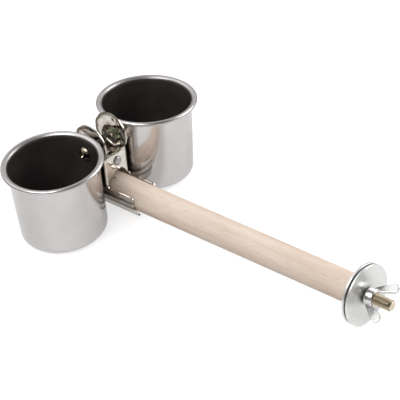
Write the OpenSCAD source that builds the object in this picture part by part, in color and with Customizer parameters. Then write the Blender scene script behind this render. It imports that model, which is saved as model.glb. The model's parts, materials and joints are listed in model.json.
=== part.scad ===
// Bird perch with two feeding cups on a spring clip, and a wing-nut cage fixing.
// The perch runs along X. The origin is on its axis, at the face of the inner washer that meets the cage.
// +X points out through the cage wall, +Z is up, and the cups stand either side of the perch along Y.

/* [Perch] */
// Diameter of the wooden dowel
dowel_d = 15.4; // [12:0.1:20]
// Length of the wooden dowel
dowel_len = 200; // [120:5:300]
// Bevel at the two ends of the dowel
dowel_bevel = 0.8; // [0.3:0.1:1.5]

/* [Cage fixing] */
// Diameter of the metric thread that passes through the cage
stud_d = 6; // [5:0.5:8]
// Length of stud that stands out past the inner washer
stud_out = 17.6; // [14:0.1:30]
// Length of stud that is driven into the dowel
stud_in = 30; // [20:1:50]
// Length of the machine thread inside the dowel, before the wood thread starts
stud_neck = 5; // [3:0.5:10]
// Diameter of the wood-screw end of the stud
wood_thread_d = 5.2; // [4:0.1:7]
// Length of the pointed tip of the wood-screw end
stud_point = 5; // [3:0.5:8]
// Bevel at the free end of the stud
stud_bevel = 1; // [0.5:0.1:1.5]
// Outer diameter of the two cage washers
washer_d = 32; // [24:1:40]
// Thickness of each cage washer
washer_t = 1.2; // [0.8:0.1:2.5]
// How much wider than the stud the loose outer washer is bored
washer_play = 0.4; // [0.3:0.1:1]
// Space between the two washers, where the cage wire goes
wire_gap = 1.1; // [1:0.1:4]

/* [Wing nut] */
// Diameter of the boss at its base
boss_d = 9.8; // [9:0.1:14]
// Diameter of the boss at its top
boss_top_d = 8.8; // [8:0.1:12]
// Height of the boss
boss_h = 5; // [4.5:0.1:9]
// Distance from wing tip to wing tip
wing_span = 22.4; // [20:0.2:34]
// Height of the wing tips above the base of the boss
wing_h = 13.3; // [11:0.1:18]
// Thickness of the wings
wing_t = 2.2; // [1.5:0.1:3]
// Radius of the rounded wing tips
wing_tip_r = 2.6; // [2:0.1:4]
// Angle of the wings about the stud, from the level
wing_angle = 28; // [0:1:90]

/* [Clip] */
// Distance from the inner washer's cage face back to the middle of the clip
clip_back = 171.9; // [60:0.1:260]
// Thickness of the pressed sheet of the jaws
sheet = 1; // [0.8:0.1:1.4]
// Length of the gripping lips along the dowel
grip_len = 55; // [40:1:80]
// Angle above the dowel's side at which a jaw leaves the dowel and rises straight
leave_angle = 12; // [8:1:25]
// Angle below the dowel's side at which a lip leaves the dowel and flares out
flare_angle = 33; // [20:1:45]
// Length of the straight, flaring edge of a lip
flare_len = 4.8; // [3:0.1:7]
// Height of the long lip's top edge above the dowel's axis
lip_top = 4; // [3.6:0.1:5]
// Width of the clip over its outer pair of ears
ear_span = 20; // [18:0.5:24]
// Width of the leg of each ear beside the dowel
ear_leg = 1.35; // [1.2:0.05:2]
// Height of the middle of the ears' arch above the dowel's axis
arch_z = 3.66; // [2:0.01:5]
// Height of the pin above the top of the ears' arch
pin_rise = 5.4; // [4.5:0.1:8]
// Height of the ears above the pin
ear_rise = 4.5; // [4:0.1:6]
// Radius of the ears' free corners
ear_round = 2.2; // [1:0.1:2.5]
// Outside radius of the bend between a jaw's plate and its ears
bend_r = 1.4; // [1.2:0.1:2]
// Fillet between the long lip and the upright plate
lip_fillet = 2; // [1:0.1:3]
// How far the neck steps in between a jaw's ears and its thumb tab
neck_step = 0.7; // [0.3:0.1:1.5]
// Diameter of the round thumb tabs
tab_d = 21.8; // [20:0.1:26]
// Height of the middle of the thumb tabs above the pin
tab_rise = 10.7; // [10:0.1:14]
// How far the middle of the dish, and with it the cup's screw, lies below the middle of the tab
dish_drop = 3; // [2.4:0.1:4]
// Diameter of the dish's mouth in each thumb tab
dish_d = 13.8; // [13:0.1:15]
// Diameter of the flat floor of the dish
floor_d = 8.6; // [8.4:0.1:9.4]
// Depth of the dish, which reaches out to the wall of the cup
dish_depth = 3.4; // [2.4:0.1:4]

/* [Pin and spring] */
// Diameter of the pivot pin
pin_d = 3.2; // [2.5:0.1:4]
// Diameter of the pin's peened heads
pin_head_d = 5.2; // [4.5:0.1:7]
// Height of the pin's peened heads
pin_head_h = 0.9; // [0.6:0.1:1.5]
// Diameter of the spring wire
wire_d = 1.4; // [1:0.1:1.6]
// Diameter of the spring's coil, measured to the middle of the wire
coil_d = 6.8; // [6.4:0.1:7.2]
// Whole turns of the spring's coil
coil_turns = 5; // [3:1:5]
// Distance from one curl of the coil to the next
coil_pitch = 1.95; // [1.9:0.05:2.1]

/* [Cups] */
// Height of a cup
cup_h = 44.1; // [34:0.1:60]
// Outer diameter of a cup just under its rim
cup_d = 47.4; // [42:0.1:60]
// How much narrower a cup is at its foot
cup_taper = 1.6; // [0:0.1:4]
// Outer diameter of the rolled rim
rim_d = 53.6; // [50:0.1:66]
// Thickness of the sheet of a cup
cup_wall = 0.6; // [0.5:0.1:1]
// Radius of the rolled bead at the edge of the rim
bead_r = 1.1; // [0.9:0.1:1.5]
// Radius of the rounded corner at the foot
foot_r = 4.6; // [2:0.2:8]
// Depth of the pushed-up middle of the foot
foot_rise = 0.8; // [0.5:0.1:2]
// Width of the ring that a cup stands on, inside its rounded corner
foot_ring = 2.4; // [1.5:0.1:5]
// Angle by which each cup leans away from the perch
cup_lean = 3.4; // [0:0.1:6]
// Distance from the top of the rim down to the cup's screw
screw_drop = 9.6; // [9:0.1:14]

/* [Cup screws] */
// Diameter of the cup screws
screw_d = 4; // [3:0.5:4.5]
// Diameter of the domed screw heads
head_d = 7.6; // [6:0.1:9]
// Height of the domed screw heads
head_h = 2.2; // [1.6:0.1:3]
// Width across the flats of the hexagon nuts
nut_af = 7; // [6:0.5:8]
// Thickness of the hexagon nuts
nut_t = 3.2; // [2:0.1:4]
// Length of screw that stands out of the nut
screw_out = 0.8; // [0.4:0.1:1.5]

/* [Hidden] */
$fn = 96;

// Clearances and overruns
grip_gap = 0.3;         // between the closed lips and the dowel
run_gap = 0.05;         // between a pin and the hole that it turns or sits in
face_gap = 0.1;         // between flat faces that only touch
ear_gap = 0.15;         // between the outer and the inner ears
head_seat = 0.5;        // under a screw head, so that its flat face clears the curved cup wall
over = 1;               // overrun of the cuts
lap = 0.05;             // by which two shapes of one piece reach into each other

// Places along the perch
dowel_x = -washer_t;
nut_x = wire_gap + washer_t + face_gap;

// The jaws, drawn for the side at +Y with the perch's axis as their origin
dowel_r = dowel_d / 2;
grip_in = dowel_r + grip_gap;
grip_out = grip_in + sheet;
plate_in = grip_in * cos(leave_angle);
plate_out = plate_in + sheet;
leave_z = grip_in * sin(leave_angle);
arch_r = plate_out - ear_leg;
arch_top = arch_z + arch_r;
pin_z = arch_top + pin_rise;
ear_z = pin_z + ear_rise;
ear_far = plate_in * 3 / 4;
tab_z = pin_z + tab_rise;
tab_r = tab_d / 2;
screw_z = tab_z - dish_drop;
outer_ear = ear_span / 2;
inner_ear = outer_ear - sheet - ear_gap;
tab_in = plate_in - neck_step;
tab_out = tab_in + sheet;

// The spring, around the pin
wire_r = wire_d / 2;
coil_r = coil_d / 2;
leg_y = plate_in - wire_r - run_gap;
leg_turn_share = 0.3;   // of a turn, that the coil makes past its whole turns to meet its legs
coil_x_half = coil_pitch * (coil_turns + leg_turn_share) / 2;
leg_z = tab_rise - dish_drop - sqrt(pow(dish_d / 2, 2) - pow(coil_x_half, 2)) - wire_r / 2;
leg_reach = sqrt(leg_y * leg_y + leg_z * leg_z);
leg_angle = atan2(leg_z, leg_y);
// Angle below the level at which the wire leaves the coil for the right-hand jaw
leave_coil = leg_angle - acos(coil_r / leg_reach);
coil_sweep = coil_turns * 360 + 180 + 2 * leave_coil;
rings_per_turn = 8;
wire_sides = 6;
coil_rings = ceil(coil_sweep / 360 * rings_per_turn);

// The cups, drawn with their axis along Z and their foot at the origin
cup_r = cup_d / 2;
rim_r = rim_d / 2;
foot_outer_r = cup_r - cup_taper / 2;
rim_round = rim_r - bead_r - cup_r + cup_wall;
screw_up = cup_h - screw_drop;
wall_at_screw = foot_outer_r + cup_taper / 2 * screw_up / cup_h;
// The leaning wall meets the lower edge of the dish's flat floor and stands off its middle by this much
cup_seat = face_gap + floor_d / 2 * tan(cup_lean - atan(cup_taper / 2 / cup_h));
cup_y = tab_out + dish_depth + cup_seat - screw_up * sin(cup_lean) + wall_at_screw * cos(cup_lean);
cup_z = screw_z - screw_up * cos(cup_lean) - wall_at_screw * sin(cup_lean);
floor_in = tab_in + dish_depth;
head_y = tab_out + dish_depth + cup_seat + cup_wall + head_seat;

// The points of an arc about a centre, from one angle to another
function arc(centre, r, from, to, steps = 12) =
    [for (i = [0:steps]) let(a = from + (to - from) * i / steps) centre + r * [cos(a), sin(a)]];

// Turns a shape drawn with its axis along Z so that its axis lies along X
module along_x() { rotate([0, 90, 0]) children(); }

// Pushes an outline drawn in Y and Z along X, from x0 for a length
module sweep_x(x0, length) { translate([x0, 0, 0]) rotate([90, 0, 90]) linear_extrude(length) children(); }

// Pushes an outline drawn in X and Z along Y, from y0 for a length
module sweep_y(y0, length) { translate([0, y0 + length, 0]) rotate([90, 0, 0]) linear_extrude(length) children(); }

// Puts what is drawn about the perch's axis at the middle of the clip
module at_clip() { translate([-clip_back, 0, 0]) children(); }

// Draws the children for the right-hand side as they are and for the left-hand side mirrored
module on_side(side) { if (side > 0) children(); else mirror([0, 1, 0]) children(); }

// A rectangle with four round corners
module round_box(low, high, r) {
    translate([low[0] + r, low[1]]) square([high[0] - low[0] - 2 * r, high[1] - low[1]]);
    translate([low[0], low[1] + r]) square([high[0] - low[0], high[1] - low[1] - 2 * r]);
    for (y = [low[0] + r, high[0] - r], z = [low[1] + r, high[1] - r]) translate([y, z]) circle(r);
}

// Outline of the stud, as radius against distance from its point
module stud_outline(grow = 0) {
    wood_r = wood_thread_d / 2 + grow;
    thread_r = stud_d / 2 + grow;
    length = stud_in + washer_t + stud_out;
    thread_from = stud_in - stud_neck;
    polygon([[0, 0], [wood_r, stud_point], [wood_r, thread_from], [thread_r, thread_from],
        [thread_r, length - stud_bevel], [thread_r - stud_bevel, length], [0, length]]);
}

module hanger_bolt() color("darkkhaki")
    translate([dowel_x - stud_in, 0, 0]) along_x() rotate_extrude() stud_outline();

module perch_dowel() color("bisque") difference() {
    translate([dowel_x - dowel_len, 0, 0]) along_x() rotate_extrude() polygon([[0, 0],
        [dowel_r - dowel_bevel, 0], [dowel_r, dowel_bevel], [dowel_r, dowel_len - dowel_bevel],
        [dowel_r - dowel_bevel, dowel_len], [0, dowel_len]]);
    translate([dowel_x - stud_in - run_gap, 0, 0]) along_x() rotate_extrude() stud_outline(run_gap);
}

module washer(bore_r) along_x() difference() {
    rim = washer_t / 4;
    r = washer_d / 2;
    rotate_extrude() polygon([[0, 0], [r - rim, 0], [r, rim], [r, washer_t - rim], [r - rim, washer_t],
        [0, washer_t]]);
    translate([0, 0, -over]) cylinder(r = bore_r, h = washer_t + 2 * over);
}

module inner_washer() color("silver") translate([-washer_t, 0, 0]) washer(stud_d / 2 + run_gap);

module outer_washer() color("silver") translate([wire_gap, 0, 0]) washer((stud_d + washer_play) / 2);

// One wing, in a plane through the stud's axis: distance from the axis against height
module wing_outline() {
    tip = [wing_span / 2 - wing_tip_r, wing_h - wing_tip_r];
    slope = atan2(tip[1] - boss_h / 2, tip[0] - boss_top_d * 0.45);
    polygon(concat([[0, boss_h * 0.2], [boss_d * 0.45, boss_h * 0.2]],
        arc(tip, wing_tip_r, slope - 90, slope + 90), [[boss_top_d * 0.42, boss_h * 0.95], [0, boss_h * 0.95]]));
}

module wing_nut() color("gainsboro") translate([nut_x, 0, 0]) difference() {
    union() {
        along_x() rotate_extrude() polygon([[0, 0], [boss_d * 0.4, 0], [boss_d / 2, boss_h * 0.22],
            [boss_top_d / 2, boss_h * 0.92], [boss_top_d * 0.46, boss_h], [0, boss_h]]);
        for (turn = [0, 180]) rotate([wing_angle + turn, 0, 0])
            translate([0, 0, -wing_t / 2]) linear_extrude(wing_t) mirror([1, -1, 0]) wing_outline();
    }
    translate([-over, 0, 0]) along_x() cylinder(r = stud_d / 2 + run_gap, h = boss_h + 2 * over);
}

// Side view of a jaw: the lip that wraps the dowel, and the upright plate
module jaw_profile() {
    intersection() {
        difference() {
            circle(grip_out);
            circle(grip_in);
        }
        polygon([[0, 0], 2 * grip_out * [cos(flare_angle), -sin(flare_angle)], [2 * grip_out, 0],
            2 * grip_out * [cos(leave_angle), sin(leave_angle)]]);
    }
    rotate(-flare_angle) translate([grip_in, -flare_len]) square([sheet, flare_len + lap]);
    polygon([[plate_in, leave_z], [plate_out, leave_z], [plate_out, ear_z], [tab_out, ear_z + neck_step],
        [tab_out, tab_z + tab_r], [tab_in, tab_z + tab_r], [tab_in, ear_z + neck_step], [plate_in, ear_z]]);
}

// Front view of a jaw: the long lip, the neck between the ears and the round thumb tab
module jaw_front(half) {
    low = -2 * grip_out;
    round_box([-grip_len / 2, low], [grip_len / 2, lip_top], lip_fillet);
    translate([-half, low]) square([2 * half, ear_z - low]);
    for (side = [-1, 1]) difference() {
        translate([side > 0 ? half - sheet / 2 : -half - lip_fillet, lip_top - sheet / 2])
            square([lip_fillet + sheet / 2, lip_fillet + sheet / 2]);
        translate([side * (half + lip_fillet), lip_top + lip_fillet]) circle(lip_fillet);
    }
    translate([0, tab_z]) circle(tab_r);
}

// Side view of an ear, with the arch that bridges the dowel and the hole for the pin
module ear_outline() {
    difference() {
        union() {
            translate([0, lip_top - sheet / 2]) square([plate_out, ear_z - lip_top + sheet / 2]);
            round_box([-ear_far, arch_top], [plate_out / 2, ear_z], ear_round);
        }
        circle(grip_in);
        translate([0, arch_z]) circle(arch_r);
        translate([0, pin_z]) circle(pin_d / 2 + run_gap);
    }
}

// The dish of a thumb tab, drawn as radius against depth from a mouth at the depth from; its side is
// half a wave of a cosine
module dish_outline(from) {
    mouth_r = dish_d / 2;
    floor_r = floor_d / 2;
    steps = 12;
    side = [for (i = [0:steps]) let(t = i / steps)
        [mouth_r + (floor_r - mouth_r) * t, from + (dish_depth - from) * (1 - cos(180 * t)) / 2]];
    back = [for (i = [0:steps]) side[steps - i] + [0, sheet]];
    polygon(concat([[mouth_r + sheet, from]], side, [[0, dish_depth], [0, dish_depth + sheet]], back,
        [[mouth_r + sheet, from + sheet]]));
}

// The dish, whose mouth lies in the thumb tab above the neck's step and in the wider plate below it
module dish() {
    for (low = [false, true]) intersection() {
        translate([0, tab_in, screw_z]) rotate([-90, 0, 0]) rotate_extrude() dish_outline(low ? neck_step : 0);
        translate([-tab_r, tab_in, ear_z + neck_step / 2 - (low ? 2 * tab_r : 0)])
            cube([2 * tab_r, dish_depth + sheet, 2 * tab_r]);
    }
}

// One stamped jaw for the side at +Y; half is half its width over the ears
module jaw(half) difference() {
    union() {
        difference() {
            intersection() {
                sweep_x(-grip_len / 2, grip_len) jaw_profile();
                sweep_y(0, 2 * grip_out) jaw_front(half);
            }
            translate([0, 0, screw_z]) rotate([-90, 0, 0]) cylinder(d = dish_d + sheet, h = 2 * grip_out);
            ear_bend_cut(half);
        }
        dish();
        intersection() {
            union() {
                sweep_x(half - sheet, sheet) ear_outline();
                sweep_x(-half, sheet) ear_outline();
            }
            bend_prism(half);
        }
    }
    translate([0, 0, screw_z]) rotate([-90, 0, 0]) cylinder(r = screw_d / 2 + run_gap, h = 2 * grip_out);
}

// The space inside the rounded corners of the two bends, seen from above
module bend_prism(half) translate([0, 0, leave_z]) linear_extrude(ear_z) {
    translate([-half, -2 * plate_out]) square([2 * half, 3 * plate_out - bend_r]);
    translate([-half + bend_r, 0]) square([2 * (half - bend_r), plate_out]);
    for (side = [-1, 1]) translate([side * (half - bend_r), plate_out - bend_r]) circle(bend_r);
}

// What the bends take off the two edges of the plate between the lip's fillet and the tops of the ears
module ear_bend_cut(half) {
    from = lip_top + lip_fillet;
    for (side = [-1, 1]) difference() {
        translate([side > 0 ? half - bend_r : -half - over, plate_out - bend_r, from])
            cube([bend_r + over, bend_r + over, ear_z - from]);
        translate([side * (half - bend_r), plate_out - bend_r, from - over])
            cylinder(r = bend_r, h = ear_z - from + 2 * over);
    }
}

module right_jaw() color("lightsteelblue") at_clip() on_side(1) jaw(inner_ear);

module left_jaw() color("lightsteelblue") at_clip() on_side(-1) jaw(outer_ear);

// Half section of a domed head that stands on the level h, as radius against height, from its rim to its top
function dome(d, height, h) = let(
    cap_r = (d * d / 4 + height * height) / (2 * height),
    edge = asin(d / 2 / cap_r))
    arc([0, h + height - cap_r], cap_r, 90 - edge, 90, 8);

module pivot_pin() color("slategray") at_clip() translate([0, 0, pin_z]) {
    half = outer_ear + face_gap;
    side = concat([[pin_d / 2, 0], [pin_d / 2, half], [pin_head_d / 2, half]], dome(pin_head_d, pin_head_h, half));
    along_x() rotate_extrude() polygon(concat(side, [for (i = [len(side) - 1:-1:0]) [side[i][0], -side[i][1]]]));
}

// The middle line of the spring wire, in Y and Z about the pin: a leg, the coil and the other leg
coil_from = 180 - leave_coil;
function coil_point(i) = let(a = coil_from + coil_sweep * i / coil_rings)
    [coil_pitch * (coil_sweep / 360) * (i / coil_rings - 0.5), coil_r * cos(a), coil_r * sin(a)];
function coil_out(i) = let(a = coil_from + coil_sweep * i / coil_rings) [0, cos(a), sin(a)];
coil_end_x = coil_pitch * coil_sweep / 720;
spring_path = concat([[-coil_end_x, -leg_y, leg_z]], [for (i = [0:coil_rings]) coil_point(i)],
    [[coil_end_x, leg_y, leg_z]]);
spring_out = concat([coil_out(0)], [for (i = [0:coil_rings]) coil_out(i)], [coil_out(coil_rings)]);

// Least space between one curl and the next, measured on the points of the middle line
coil_points = [for (i = [0:coil_rings]) coil_point(i)];
curl_gap = min([for (i = [0:coil_rings], j = [i + rings_per_turn / 2:1:coil_rings])
    norm(coil_points[i] - coil_points[j])]) - wire_d;
echo(curl_gap = curl_gap);

// One unbroken tube along a path, with a vector that points out of each bend
module tube(path, out, r, sides) {
    last = len(path) - 1;
    ring = [for (i = [0:last]) let(
        ahead = path[min(i + 1, last)] - path[max(i - 1, 0)],
        t = ahead / norm(ahead),
        u = cross(t, cross(out[i], t)),
        n = u / norm(u),
        b = cross(t, n))
        for (k = [0:sides - 1]) path[i] + r * (cos(360 * k / sides) * n + sin(360 * k / sides) * b)];
    walls = [for (i = [0:last - 1], k = [0:sides - 1]) let(
        a = i * sides + k,
        b = i * sides + (k + 1) % sides)
        each [[a, a + sides, b], [b, a + sides, b + sides]]];
    caps = [for (k = [1:sides - 2]) each [[0, k, k + 1],
        [last * sides, last * sides + k + 1, last * sides + k]]];
    polyhedron(ring, concat(walls, caps));
}

module torsion_spring() color("dimgray") at_clip() translate([0, 0, pin_z])
    tube(spring_path, spring_out, wire_r, wire_sides);

// Half section of a cup: foot, rounded corner, tapered wall, flared rim and rolled bead
module cup_outline() {
    corner = [foot_outer_r - foot_r, foot_r];
    rise_r = foot_outer_r - foot_r - foot_ring;
    inside_top = cup_r - cup_wall;
    flare = [inside_top + rim_round, cup_h - rim_round];
    outside = concat([[0, foot_rise], [rise_r - foot_rise, foot_rise], [rise_r, 0]],
        arc(corner, foot_r, -90, 0), [[cup_r, cup_h - rim_round]],
        arc(flare, rim_round - cup_wall, 180, 90));
    inside = concat(arc(flare, rim_round, 90, 180), arc(corner, foot_r - cup_wall, 0, -90),
        [[rise_r, cup_wall], [rise_r - foot_rise, foot_rise + cup_wall], [0, foot_rise + cup_wall]]);
    polygon(concat(outside, inside));
    translate([rim_r - bead_r, cup_h - bead_r]) circle(bead_r);
}

module cup() difference() {
    translate([0, cup_y, cup_z]) rotate([-cup_lean, 0, 0]) rotate_extrude() cup_outline();
    translate([0, 0, screw_z]) rotate([-90, 0, 0]) cylinder(r = screw_d / 2 + run_gap, h = cup_y);
}

module right_cup() color("lightgray") at_clip() on_side(1) cup();

module left_cup() color("lightgray") at_clip() on_side(-1) cup();

// A domed screw whose head is inside the cup and whose end stands in the dish
module cup_screw() translate([0, 0, screw_z]) rotate([-90, 0, 0]) {
    end = floor_in - face_gap - nut_t - screw_out;
    rotate_extrude() polygon(concat([[0, end], [screw_d * 0.42, end], [screw_d / 2, end + screw_d * 0.08],
        [screw_d / 2, head_y], [head_d / 2, head_y]], dome(head_d, head_h, head_y)));
}

module right_cup_screw() color("darkgray") at_clip() on_side(1) cup_screw();

module left_cup_screw() color("darkgray") at_clip() on_side(-1) cup_screw();

module cup_nut() translate([0, floor_in - face_gap - nut_t, screw_z]) rotate([-90, 0, 0]) difference() {
    cylinder(d = nut_af / cos(30), h = nut_t, $fn = 6);
    translate([0, 0, -over]) cylinder(r = screw_d / 2 + run_gap, h = nut_t + 2 * over);
}

module right_cup_nut() color("gray") at_clip() on_side(1) cup_nut();

module left_cup_nut() color("gray") at_clip() on_side(-1) cup_nut();

perch_dowel();
hanger_bolt();
inner_washer();
outer_washer();
wing_nut();
left_jaw();
right_jaw();
pivot_pin();
torsion_spring();
left_cup();
right_cup();
left_cup_screw();
right_cup_screw();
left_cup_nut();
right_cup_nut();
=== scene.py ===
# %% [markdown]
# # A bird perch with two steel cups
#
# The real object is a turned wooden perch. A sprung metal clip rides on it and carries a steel cup
# on each side, and a stud with two washers and a wing nut holds it to the wall of a cage.
# The construction already exists as a packed model. This script loads it as a fixed frame and
# dresses it: each solid is replaced by a finer piece of the same size, with a finish of its own.

# %% Load the frame
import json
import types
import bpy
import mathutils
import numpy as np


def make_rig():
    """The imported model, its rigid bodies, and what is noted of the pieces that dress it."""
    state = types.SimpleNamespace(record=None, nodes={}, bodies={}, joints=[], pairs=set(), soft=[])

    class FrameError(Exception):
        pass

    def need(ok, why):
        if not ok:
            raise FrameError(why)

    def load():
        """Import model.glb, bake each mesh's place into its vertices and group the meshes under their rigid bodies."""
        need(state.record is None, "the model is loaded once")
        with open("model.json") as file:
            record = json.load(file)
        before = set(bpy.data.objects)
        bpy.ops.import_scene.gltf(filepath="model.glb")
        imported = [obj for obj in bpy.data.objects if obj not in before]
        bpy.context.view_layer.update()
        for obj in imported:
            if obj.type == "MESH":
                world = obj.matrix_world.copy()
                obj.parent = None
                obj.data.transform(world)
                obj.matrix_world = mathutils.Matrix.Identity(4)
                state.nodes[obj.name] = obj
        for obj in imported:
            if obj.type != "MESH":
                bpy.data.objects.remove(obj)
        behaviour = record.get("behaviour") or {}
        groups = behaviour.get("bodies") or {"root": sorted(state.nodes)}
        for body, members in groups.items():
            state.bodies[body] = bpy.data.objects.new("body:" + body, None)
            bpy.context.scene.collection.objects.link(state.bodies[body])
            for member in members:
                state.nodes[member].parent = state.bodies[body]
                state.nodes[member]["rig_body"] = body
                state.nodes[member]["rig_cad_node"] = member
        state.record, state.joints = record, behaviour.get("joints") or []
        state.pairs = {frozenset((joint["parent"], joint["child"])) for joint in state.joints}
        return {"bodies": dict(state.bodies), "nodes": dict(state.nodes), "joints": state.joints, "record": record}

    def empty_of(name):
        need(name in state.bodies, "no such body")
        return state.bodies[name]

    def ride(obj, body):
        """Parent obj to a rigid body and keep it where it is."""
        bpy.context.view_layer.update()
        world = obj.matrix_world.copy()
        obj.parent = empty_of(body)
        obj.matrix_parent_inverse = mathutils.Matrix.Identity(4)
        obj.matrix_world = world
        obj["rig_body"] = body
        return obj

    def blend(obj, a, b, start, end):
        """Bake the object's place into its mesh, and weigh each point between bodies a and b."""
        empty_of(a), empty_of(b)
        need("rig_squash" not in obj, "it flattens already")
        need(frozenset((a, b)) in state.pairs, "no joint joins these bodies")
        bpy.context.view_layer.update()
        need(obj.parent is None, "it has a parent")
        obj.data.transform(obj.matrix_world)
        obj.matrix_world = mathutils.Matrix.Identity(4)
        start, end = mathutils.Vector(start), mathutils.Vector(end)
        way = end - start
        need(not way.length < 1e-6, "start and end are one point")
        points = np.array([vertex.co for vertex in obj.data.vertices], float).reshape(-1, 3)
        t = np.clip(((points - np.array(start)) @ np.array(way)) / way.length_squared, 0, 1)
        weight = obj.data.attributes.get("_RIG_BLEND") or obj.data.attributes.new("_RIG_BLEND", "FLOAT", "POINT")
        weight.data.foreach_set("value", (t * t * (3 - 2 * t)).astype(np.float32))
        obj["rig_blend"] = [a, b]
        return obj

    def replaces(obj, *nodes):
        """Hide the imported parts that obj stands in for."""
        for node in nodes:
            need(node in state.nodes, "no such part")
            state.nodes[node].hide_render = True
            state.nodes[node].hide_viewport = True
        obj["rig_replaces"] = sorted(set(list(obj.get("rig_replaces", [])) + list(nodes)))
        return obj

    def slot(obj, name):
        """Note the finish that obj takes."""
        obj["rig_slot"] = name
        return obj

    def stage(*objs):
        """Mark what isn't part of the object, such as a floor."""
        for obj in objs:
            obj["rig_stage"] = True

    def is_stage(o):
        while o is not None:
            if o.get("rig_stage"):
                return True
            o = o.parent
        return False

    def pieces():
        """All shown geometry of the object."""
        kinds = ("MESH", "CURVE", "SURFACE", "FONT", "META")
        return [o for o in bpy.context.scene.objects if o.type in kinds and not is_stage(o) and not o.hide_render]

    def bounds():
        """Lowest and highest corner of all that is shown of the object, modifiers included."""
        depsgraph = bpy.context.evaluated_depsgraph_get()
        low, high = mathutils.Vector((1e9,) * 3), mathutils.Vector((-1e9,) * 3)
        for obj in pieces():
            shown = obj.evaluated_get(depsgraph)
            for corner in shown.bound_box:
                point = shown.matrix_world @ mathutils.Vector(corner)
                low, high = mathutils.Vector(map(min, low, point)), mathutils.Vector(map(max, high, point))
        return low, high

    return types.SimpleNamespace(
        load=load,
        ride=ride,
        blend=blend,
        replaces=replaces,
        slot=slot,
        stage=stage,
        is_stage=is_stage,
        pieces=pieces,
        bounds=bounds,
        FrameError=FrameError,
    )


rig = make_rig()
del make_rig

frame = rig.load()
cad_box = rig.bounds()

import json
import math

import bmesh
import bpy
import numpy as np
from mathutils import Matrix, Vector
from mathutils.geometry import delaunay_2d_cdt

MM = 0.001
print("nodes:", sorted(frame["nodes"]))

# %% [markdown]
# ## The sizes
#
# All lengths are in millimetres and repeat those of the construction, so that every piece lands
# where the frame has it. X runs along the perch and out through the cage wall, Z is up. The clip
# comes first, from the grip round the dowel up to the tabs, because the cups hang on its dishes.

# %% Sizes of the dowel and the clip
DOWEL_R = 7.7
DOWEL_ENDS = (-201.2, -1.2)
CLIP_X = -171.9
GRIP_IN = 8.0
SHEET = 1.0
LEAVE = math.radians(12)
PLATE_IN = GRIP_IN * math.cos(LEAVE)
PLATE_OUT = PLATE_IN + SHEET
ARCH_R, ARCH_Z = PLATE_OUT - 1.35, 3.66
ARCH_TOP = ARCH_Z + ARCH_R
PIN_Z = ARCH_TOP + 5.4
EAR_Z = PIN_Z + 4.5
OUTER_EAR = 10.0
TAB_Z, TAB_R = PIN_Z + 10.7, 10.9
NECK_STEP = 0.7
TAB_IN = PLATE_IN - NECK_STEP
DISH_R, DISH_FLOOR_R, DISH_DEPTH = 6.9, 4.3, 3.4
DISH_OUT = TAB_IN + SHEET + DISH_DEPTH
SCREW_Z = TAB_Z - 3
print("pin at", round(PIN_Z, 3), "screws at", round(SCREW_Z, 3))

# %% Sizes of the cups, and the place where each one leans against its dish
CUP_H, CUP_R, CUP_TAPER, CUP_WALL = 44.1, 23.7, 0.8, 0.6
RIM_R, BEAD_R = 26.8, 1.1
FOOT_R, FOOT_RISE, FOOT_RING = 4.6, 0.8, 2.4
LEAN = math.radians(3.4)
SCREW_UP = CUP_H - 9.6
WALL_AT_SCREW = CUP_R - CUP_TAPER + CUP_TAPER * SCREW_UP / CUP_H
CUP_SEAT = 0.1 + DISH_FLOOR_R * math.tan(LEAN - math.atan(CUP_TAPER / CUP_H))
CUP_Y = DISH_OUT + CUP_SEAT - SCREW_UP * math.sin(LEAN) + WALL_AT_SCREW * math.cos(LEAN)
CUP_Z = SCREW_Z - SCREW_UP * math.cos(LEAN) - WALL_AT_SCREW * math.sin(LEAN)
print("cup foot at", round(CUP_Y, 2), round(CUP_Z, 2))

# %% [markdown]
# ## Helpers for meshes
#
# A piece is made from points in millimetres. Its object stays at the origin, unturned, so that a
# pattern on Object coordinates never slides. `settle` turns the faces outwards, and `smoothed`
# keeps an edge sharp where two faces meet at more than a given angle.

# %% A mesh piece
SAME_SPOT = 1e-7
SHARP = 40


def placed(name, data):
    obj = bpy.data.objects.new(name, data)
    bpy.context.scene.collection.objects.link(obj)
    return obj


def piece(name, points, faces, finish, sharp=SHARP, uvs=None):
    mesh = bpy.data.meshes.new(name)
    mesh.from_pydata([Vector(p) * MM for p in points], [], faces)
    if uvs:
        layer = mesh.uv_layers.new(name="UVMap")
        for loop, uv in zip(layer.data, [uv for face in uvs for uv in face]):
            loop.uv = uv
    return settle(name, mesh, finish, sharp)


def settle(name, mesh, finish, sharp=SHARP):
    shape = bmesh.new()
    shape.from_mesh(mesh)
    bmesh.ops.remove_doubles(shape, verts=shape.verts, dist=SAME_SPOT)
    bmesh.ops.recalc_face_normals(shape, faces=shape.faces)
    if shape.calc_volume(signed=True) < 0:
        bmesh.ops.reverse_faces(shape, faces=shape.faces)
    shape.to_mesh(mesh)
    shape.free()
    mesh.materials.clear()
    mesh.materials.append(finish.material)
    return smoothed(placed(name, mesh), sharp)


def smoothed(obj, sharp):
    obj.data.shade_smooth()
    obj.data.set_sharp_from_angle(angle=math.radians(sharp))
    return obj


print("edges over", SHARP, "degrees stay sharp")


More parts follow.
